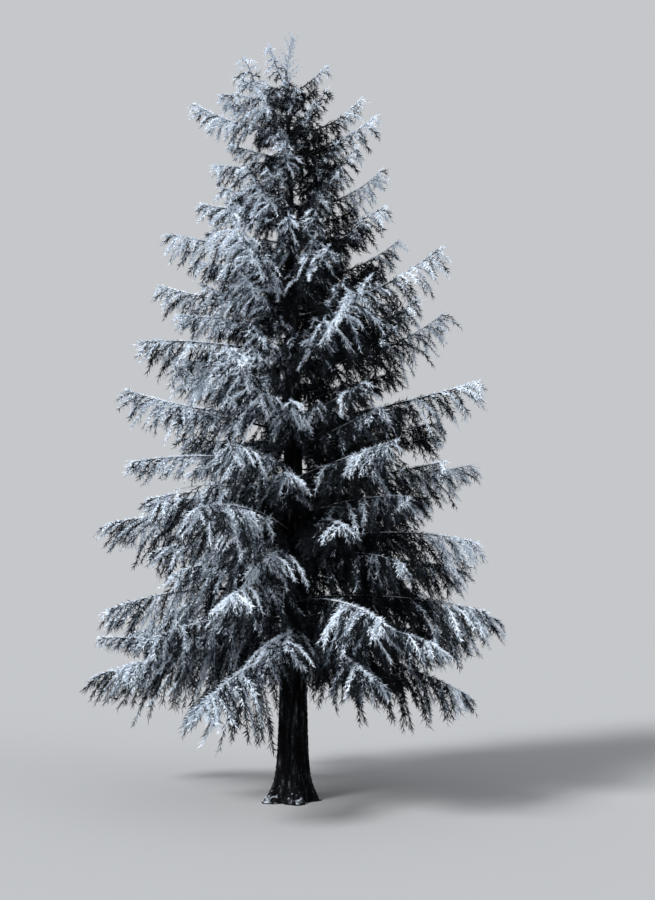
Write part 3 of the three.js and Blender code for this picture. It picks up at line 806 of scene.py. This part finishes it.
def ridge_twigs():
    """Twigs on top of each bough, to both sides and forward, thicker set and nearer to the bough's
    own way towards its tip: root, direction and length of each, and its bough."""
    random = np.random.default_rng(RIDGE_SEED)
    bough, _, share = set_along(bough_reach, RIDGE_SPACING, LEAST_RIDGE_TWIGS, (0, 1), random)
    share = bough_bare[bough] + (1 - bough_bare[bough]) * share**RIDGE_OUTWARD_POWER
    root, heading = along_curve(bough_curve[bough], share)
    sideways = np.cross(heading, -DOWN)
    spread = lessening(RIDGE_SPREAD, share**RIDGE_SPREAD_POWER)
    lean = np.radians(random.uniform(-1, 1, len(root)) * spread)[:, None]
    rise = np.radians(random.uniform(*RIDGE_RISE, len(root)))[:, None]
    way = unit(np.cos(lean) * heading + np.sin(lean) * sideways - np.sin(rise) * DOWN)
    length = RIDGE_LENGTH * by_size(RIDGE_SIZE, bough)
    length *= random.uniform(*RIDGE_CHANCE_LENGTH, len(root))
    length *= lessening(RIDGE_LENGTH_LESS, share)
    return clear_twigs(root, way, length, bough)


def leader_twigs():
    """Twigs round the leader: up and out, each turned on by the same angle from the one below it,
    and shorter towards the top: root, direction and length of each."""
    random = np.random.default_rng(LEADER_SEED)
    share = (np.arange(LEADER_SHOOTS) + 0.5) / LEADER_SHOOTS
    height = TREE_TOP - TRUNK_TOP + LEADER_BELOW_TOP - LEADER_CLEAR_TOP
    root = trunk_centre(TRUNK_TOP - LEADER_BELOW_TOP + height * share)
    turn = LEADER_TURN * np.arange(LEADER_SHOOTS)
    rise = np.radians(random.uniform(*LEADER_RISE, LEADER_SHOOTS))
    way = np.stack(
        [np.cos(turn) * np.cos(rise), np.sin(turn) * np.cos(rise), np.sin(rise)], -1
    )
    length = LEADER_SHOOT_LENGTH * lessening(LEADER_LENGTH_LESS, share)
    length *= random.uniform(*LEADER_CHANCE_LENGTH, LEADER_SHOOTS)
    return root, way, length


twig_root, twig_way, twig_length, twig_shoot = side_twigs()
ridge_root, ridge_way, ridge_length, ridge_bough = ridge_twigs()
leader_root, leader_way, leader_length = leader_twigs()

# The finishes of needles and twigs: plain tones from near-black inside the crown to white frost on
# its outer shoots, dealt out by spray. They are partly frost and partly painted light and shade:
# painted shade inside the crown, low in each curtain and on the right, and painted light on the
# left side, towards the key lamp.

# The name, the colour and the roughness of each, from the darkest to the lightest. The darker ones
# are dealt out as painted shade, the lighter ones as frost and painted light.
TONES = [
    ("needles_deep", (0.008, 0.010, 0.012), 0.62),
    ("needles_dark", (0.019, 0.023, 0.028), 0.66),
    ("needles_shade", (0.056, 0.071, 0.090), 0.72),
    ("frost_thin", (0.168, 0.205, 0.252), 0.8),
    ("frost_grey", (0.382, 0.448, 0.528), 0.85),
    ("frost_white", (0.715, 0.797, 0.895), 0.9),
]
LEADER_TONE = 4
TONE_STEPS = [0.68, 0.82, 0.90, 0.99, 1.13]  # of frost and painted light, from each tone to the next
# The way that the painted light comes from: the left, in front and a little above, as the key lamp.
PAINTED_LIGHT_WAY = unit(np.array([-0.82, -0.5, 0.25]))
# The crown's outline: the height and radius of its foot, the drop from a bough's tip to the middle of
# its curtain, and the radius at the top.
SKIRT_HEIGHT = 0.9
SKIRT_RADIUS = 2.4
TIP_DROP = 0.25
LEADER_RADIUS = 0.12
# The frost and painted light of a spray: so much at the crown's outline, up to a most beyond it, and
# a little for all. The less of it a spray has, the darker its painted shade inside the crown.
OUT_WEIGHT = 1.15
OUT_MOST = 1.1
LIGHTNESS_FOR_ALL = 0.05
# More or less for the side that it faces, as painted light on the left and painted shade on the
# right: the weight of its facing at the foot, how much less that is at the top, how much of it is
# lost at the crown's edge, and how much lighter a curtain's low part is there.
PAINTED_LIT_SIDE = {"weight": 0.6, "less": 0.16, "lost": 0.35, "lighter": 0.08}
PAINTED_SHADED_SIDE = {"weight": 1.02, "less": 0.5, "lost": 1.0, "lighter": 0.34}
FACING_UP = 0.3  # metres up, added to the way from the trunk, so that a spray near it faces up
EDGE_FROM = 0.66  # of the crown's radius, where its edge begins, and how deep it is
EDGE_DEPTH = 0.2
APEX_FROM = 0.8  # of the tree's height, where its open apex begins, and how deep it is
APEX_DEPTH = 0.2
APEX_WEIGHT = 0.24
MOST_LIGHTNESS = 1.03  # at the foot, and how much more at the top
MOST_LIGHTNESS_GROWTH = 0.36
SHADE_WEIGHT = 0.72  # painted shade, taken off at the bottom of a curtain
CURTAIN_DEPTH = (0.3, 0.5)  # metres, for every bough and by its size
SHOOT_DEPTH = 0.4  # of its curtain, where a side shoot's own wood is taken to be
OUTWARD_WEIGHT = 0.45  # for a twig that points away from the trunk
OUTWARD_MIDDLE = 0.25  # the cosine of that at which nothing is added
RIDGE_LIGHTNESS = 0.2  # added on top of a bough
# How widely chance spreads the tones of side shoots, of twigs within one, and on top of a bough.
SHOOT_CHANCE = 0.34
TWIG_CHANCE = 0.2
RIDGE_CHANCE = 0.16
TONE_SEED = 71


def tone_finish(name, colour, roughness):
    """One plain dull colour."""
    made = bpy.data.materials.new(name)
    made.use_nodes = True
    shader = made.node_tree.nodes["Principled BSDF"]
    shader.inputs["Base Color"].default_value = (*colour, 1)
    shader.inputs["Roughness"].default_value = roughness
    shader.inputs["Specular IOR Level"].default_value = DULL_SHINE
    return made


tones = [tone_finish(*tone) for tone in TONES]


def crown_radius(up):
    """The crown's mean radius at each height: straight lines through the mean tips of the whorls,
    from the crown's foot to the leader."""
    tips = np.array([np.mean(whorl[:2], 0) for whorl in WHORLS])[::-1]
    height = np.concatenate([[SKIRT_HEIGHT], tips[:, 2] - TIP_DROP, [TREE_TOP]])
    radius = np.concatenate([[SKIRT_RADIUS], tips[:, 1], [LEADER_RADIUS]])
    return np.interp(up, height, radius)


def tone_of(middle, below, chance):
    """The number of each spray's tone. Its frost and painted light is the sum of how far out it is
    towards the crown's outline, which leaves the inside of the crown in painted shade, how far it
    faces the painted light on the left, which counts less at the edge, and how near the apex it
    is, up to a most. How low it hangs in its curtain is taken off as painted shade, chance is
    added, and the result is cut into steps."""
    up = middle[:, 2] / TREE_TOP
    from_trunk = (middle - trunk_centre(middle[:, 2])) * [1, 1, 0]
    out = np.linalg.norm(from_trunk, axis=-1) / crown_radius(middle[:, 2])
    # Painted light on the side that faces the key lamp, painted shade on the side away from it.
    facing = unit(from_trunk + [0, 0, FACING_UP]) @ PAINTED_LIGHT_WAY
    weight, less, lost, lighter = (
        np.where(facing < 0, PAINTED_SHADED_SIDE[key], PAINTED_LIT_SIDE[key]) for key in PAINTED_SHADED_SIDE
    )
    edge = np.clip((out - EDGE_FROM) / EDGE_DEPTH, 0, 1)
    apex = np.clip((up - APEX_FROM) / APEX_DEPTH, 0, 1)
    frost_and_painted_light = OUT_WEIGHT * np.clip(out, 0, OUT_MOST) + LIGHTNESS_FOR_ALL
    frost_and_painted_light = frost_and_painted_light + (weight - less * up) * (1 - lost * edge) * facing + APEX_WEIGHT * apex
    frost_and_painted_light = np.minimum(frost_and_painted_light, MOST_LIGHTNESS + MOST_LIGHTNESS_GROWTH * up)
    # Painted shade, most at the bottom of each curtain.
    shade = (SHADE_WEIGHT - lighter * edge) * below
    return np.digitize(frost_and_painted_light - shade + chance, TONE_STEPS)


def spray_tones():
    """Tones for the twigs of side shoots, the side shoots, and the twigs on top of the boughs: a
    shoot's twigs share its chance and have a little of their own."""
    random = np.random.default_rng(TONE_SEED)
    shoot_chance = random.normal(0, SHOOT_CHANCE, len(shoot_length))
    middle = twig_root + twig_way * twig_length[:, None] / 2
    bough = shoot_bough[twig_shoot]
    above = along_curve(bough_curve[bough], shoot_at[twig_shoot])[0][:, 2]
    # How far down its curtain it hangs, which darkens it as painted shade.
    below = np.clip((above - middle[:, 2]) / by_size(CURTAIN_DEPTH, bough), 0, 1)
    away = unit((middle - trunk_centre(middle[:, 2])) * [1, 1, 0])
    outward = (twig_way * away).sum(-1)
    chance = shoot_chance[twig_shoot] + random.normal(0, TWIG_CHANCE, len(middle))
    twig = tone_of(middle, below, chance + OUTWARD_WEIGHT * (outward - OUTWARD_MIDDLE))
    shoot = tone_of(shoot_path[:, SHOOT_POINTS // 2], SHOOT_DEPTH, shoot_chance)
    middle = ridge_root + ridge_way * ridge_length[:, None] / 2
    ridge = tone_of(middle, 0, RIDGE_LIGHTNESS + random.normal(0, RIDGE_CHANCE, len(middle)))
    return twig, shoot, ridge


twig_tone, shoot_tone, ridge_tone = spray_tones()
leader_tone = np.full(len(leader_root), LEADER_TONE)

# The needles: stiff and pointed, set all round every twig and leaning forward along it. Each is one
# narrow blade, larger than life because it stands for a small tuft of them. They and the twigs'
# wood are joined by tiers, each kind apart.
NEEDLE_LENGTH = 0.056
NEEDLE_WIDTH = 0.02
NEEDLE_SPACING = 0.0168
LEAST_NEEDLES = 3
NEEDLE_PLACE = (0.2, 0.8)  # by chance, of its own stretch of the twig
NEEDLE_CHANCE = (0.75, 1.2)  # of its size, by chance
NEEDLE_LEAN = (18, 48)  # degrees from the twig, by a factor that lessens towards the twig's end
NEEDLE_LEAN_LESS = (1.3, 0.75)
NEEDLE_SEED = 81
TONE_SIZES = np.array([1.5, 1.35, 1.15, 1.0, 1.0, 1.0])  # larger and fewer inside the crown
GOLDEN_ANGLE = 2.39996  # radians
SLEEVE_FROM = 0.34  # of the way along a bough, where needles begin to stand on the bough itself
SLEEVE_STEPS = 10
SLEEVE_LIGHTNESS = 0.3  # added there
STEEP = 0.9  # the upright part of a unit direction that counts as steep
TWIG_RADIUS = 0.004
LEADER_TWIG_RADIUS = 0.005
TWIG_SIDES = 3
SHOOT_RADIUS = 0.008
SHOOT_TIP_RADIUS = 0.004
# The first and the last row of the bough table that each joined piece holds.
TIER_GROUPS = [(12, 12), (11, 11), (10, 10), (9, 9), (8, 8), (7, 7), (5, 6), (3, 4), (0, 2)]
# All twigs, as root, direction, length, tone and row of the bough table, and the radii of their wood.
TWIGS = [
    (twig_root, twig_way, twig_length, twig_tone, bough_row[shoot_bough[twig_shoot]]),
    (ridge_root, ridge_way, ridge_length, ridge_tone, bough_row[ridge_bough]),
    (leader_root, leader_way, leader_length, leader_tone, np.zeros(len(leader_root))),
]
TWIG_RADII = [TWIG_RADIUS, TWIG_RADIUS, LEADER_TWIG_RADIUS]


def square_to(way):
    """A direction square to each: its cross product with the upright, or with the way to the right
    where it is itself steep."""
    other = np.where(np.abs(way[:, 2:]) > STEEP, [[1.0, 0, 0]], [[0, 0, 1.0]])
    return unit(np.cross(way, other))


def needle_blades(root, way, length, tone, random):
    """Three points for each needle of each straight stretch: two ends of a foot that lies along the
    twig, and a tip that leans forward, the more the nearer the twig's end, at the golden angle
    round the twig from the needle before."""
    near = NEEDLE_SPACING * TONE_SIZES[tone]
    twig, order, share = set_along(length, near, LEAST_NEEDLES, NEEDLE_PLACE, random)
    along = way[twig]
    spin = GOLDEN_ANGLE * order + random.uniform(0, 2 * np.pi, len(length))[twig]
    flat = square_to(along)
    other = np.cross(along, flat)
    outward = np.cos(spin)[:, None] * flat + np.sin(spin)[:, None] * other
    foot = root[twig] + along * (share * length[twig])[:, None]
    lean = random.uniform(*NEEDLE_LEAN, len(order)) * lessening(NEEDLE_LEAN_LESS, share)
    lean = np.radians(lean)[:, None]
    size = (random.uniform(*NEEDLE_CHANCE, len(order)) * TONE_SIZES[tone[twig]])[:, None]
    tip = foot + NEEDLE_LENGTH * size * (np.cos(lean) * along + np.sin(lean) * outward)
    half = NEEDLE_WIDTH * size / 2 * along
    points = np.stack([foot - half, foot + half, tip], 1)
    return points.reshape(-1, 3), tone[twig]


def straight_stretches():
    """Every straight stretch that carries needles, as root, direction, length, tone and row of the
    bough table: twigs, the outer parts of boughs, and the parts of side shoots."""
    parts = list(TWIGS)
    knots = SLEEVE_FROM + (1 - SLEEVE_FROM) * np.linspace(0, 1, SLEEVE_STEPS + 1)
    path, _ = along_curve(bough_curve[:, None], np.broadcast_to(knots, (len(boughs), len(knots))))
    for i in range(SLEEVE_STEPS):
        step = path[:, i + 1] - path[:, i]
        tone = tone_of(path[:, i], 0, SLEEVE_LIGHTNESS)
        parts.append((path[:, i], unit(step), np.linalg.norm(step, axis=-1), tone, bough_row))
    row = bough_row[shoot_bough]
    for i in range(SHOOT_POINTS - 1):
        step = shoot_path[:, i + 1] - shoot_path[:, i]
        length = np.linalg.norm(step, axis=-1)
        parts.append((shoot_path[:, i], unit(step), length, shoot_tone, row))
    return [np.concatenate(column) for column in zip(*parts)]


def in_rows(row, first, last):
    """Whether each place in the bough table lies in a run of its rows, with the places between two
    rows dealt to the nearer one."""
    return (row > first - 0.5) & (row <= last + 0.5)


def stem_tubes(first, last):
    """The wood of the twigs and side shoots of some rows: long three-sided spikes for the twigs and
    bent three-sided tubes for the shoots, with their tones."""
    made = []
    for (root, way, length, tone, row), radius in zip(TWIGS, TWIG_RADII):
        kept = in_rows(row, first, last)
        root, way, length = root[kept], way[kept], length[kept]
        path = np.stack([root, root + way * length[:, None]], 1)
        thickness = np.full(path.shape[:2], radius)
        made.append((*tapering_limbs(path, thickness, square_to(way), TWIG_SIDES), tone[kept]))
    kept = in_rows(bough_row[shoot_bough], first, last)
    share = np.linspace(0, 1, SHOOT_POINTS)
    thickness = SHOOT_RADIUS + (SHOOT_TIP_RADIUS - SHOOT_RADIUS) * share
    thickness = thickness * np.ones((kept.sum(), 1))
    sideways = np.cross(DOWN, shoot_level[kept])
    tubes = tapering_limbs(shoot_path[kept], thickness, sideways, TWIG_SIDES)
    made.append((*tubes, shoot_tone[kept]))
    starts = np.cumsum([0] + [len(points) for points, *_ in made])
    points = np.concatenate([points for points, *_ in made])
    faces = np.concatenate([faces + start for (_, faces, *_), start in zip(made, starts)])
    shades = np.concatenate([np.repeat(tone, each) for *_, each, tone in made])
    return points, faces, shades


def nodes_of(first, last):
    """The names of the foliage solids that stand for the boughs of some rows of the table."""
    tiers = [f"foliage_tier{len(WHORLS) - row:02d}_" for row in range(first, last + 1)]
    if first == 0:
        tiers.append("foliage_leader")
    return [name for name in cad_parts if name.startswith(tuple(tiers))]


stretch_root, stretch_way, stretch_length, stretch_tone, stretch_row = straight_stretches()
for number, (first, last) in enumerate(TIER_GROUPS):
    random = np.random.default_rng(NEEDLE_SEED + number)
    kept = in_rows(stretch_row, first, last)
    blade_points, blade_tones = needle_blades(
        stretch_root[kept], stretch_way[kept], stretch_length[kept], stretch_tone[kept], random
    )
    blade_faces = np.arange(len(blade_points)).reshape(-1, 3)
    stem_points, stem_faces, stem_tones = stem_tubes(first, last)
    tier = f"tier{len(WHORLS) - last:02d}"
    needles = new_piece(f"needles_{tier}", blade_points, blade_faces, tones, blade_tones, False)
    stems = new_piece(f"twigs_{tier}", stem_points, stem_faces, tones, stem_tones)
    for piece, slot in ((needles, "needles"), (stems, "bark")):
        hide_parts(*nodes_of(first, last))
        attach(piece, "root")

# The studio: a wide pale floor, a plain pale room, a large soft lamp high on the left in front, and
# a weaker one on the right. None of it is part of the tree.
FLOOR_RADIUS = 70.0
FLOOR_SIDES = 96
FLOOR_COLOUR = (0.343, 0.349, 0.357)
FLOOR_ROUGHNESS = 0.9
ROOM_COLOUR = (0.80, 0.82, 0.85)
ROOM_STRENGTH = 0.7
# Where each lamp's light comes from, how many degrees wide it is, and its strength.
KEY_LIGHT = {"comes_from": (-0.62, -0.5, 0.6), "softness": 16, "strength": 5.0}
FILL_LIGHT = {"comes_from": (0.75, -0.5, 0.45), "softness": 40, "strength": 0.8}


def pale_floor():
    """A flat fan of triangles from the trunk's foot out to a round rim."""
    turn = 2 * np.pi * np.arange(FLOOR_SIDES) / FLOOR_SIDES
    rim = np.stack([FLOOR_RADIUS * np.cos(turn), FLOOR_RADIUS * np.sin(turn), 0 * turn], -1)
    points = np.concatenate([rim, [[0, 0, 0]]])
    column = np.arange(FLOOR_SIDES)
    faces = np.stack([column, np.roll(column, -1), np.full(FLOOR_SIDES, FLOOR_SIDES)], -1)
    return new_piece(
        "floor", points, faces, [tone_finish("floor_pale", FLOOR_COLOUR, FLOOR_ROUGHNESS)]
    )


def soft_sun(name, comes_from, softness, strength):
    """A lamp that is the same all over the floor, as wide as its softness says in degrees. It is
    tilted by the angle between its direction and the upright, and turned by the angle between
    that direction and the front, both by their tangents."""
    lamp = bpy.data.lights.new(name, "SUN")
    lamp.angle = math.radians(softness)
    lamp.energy = strength
    holder = bpy.data.objects.new(name, lamp)
    x, y, z = comes_from
    holder.rotation_euler = (math.atan2(math.hypot(x, y), z), 0, math.atan2(x, -y))
    bpy.context.scene.collection.objects.link(holder)


floor = pale_floor()

world = bpy.data.worlds.new("pale_room")
world.use_nodes = True
world.node_tree.nodes["Background"].inputs["Color"].default_value = (*ROOM_COLOUR, 1)
world.node_tree.nodes["Background"].inputs["Strength"].default_value = ROOM_STRENGTH
bpy.context.scene.world = world

soft_sun("key_light", **KEY_LIGHT)
soft_sun("fill_light", **FILL_LIGHT)

# The camera stands in front of the tree. It looks up a little, and a little to the right, which
# puts the tree left of the middle.
CAMERA_PITCH = 9.09  # degrees up
CAMERA_YAW = 1.92  # degrees to the right
LENS_LENGTH = 40  # millimetres, as the next is
SENSOR_WIDTH = 36

lens = bpy.data.cameras.new("camera")
lens.lens = LENS_LENGTH
lens.sensor_width = SENSOR_WIDTH
camera = bpy.data.objects.new("camera", lens)
camera.location = (0, -CAMERA_DISTANCE, CAMERA_HEIGHT)
camera.rotation_euler = (math.radians(90 + CAMERA_PITCH), 0, math.radians(-CAMERA_YAW))
bpy.context.scene.collection.objects.link(camera)
bpy.context.scene.camera = camera
bpy.context.scene.view_settings.view_transform = "Standard"
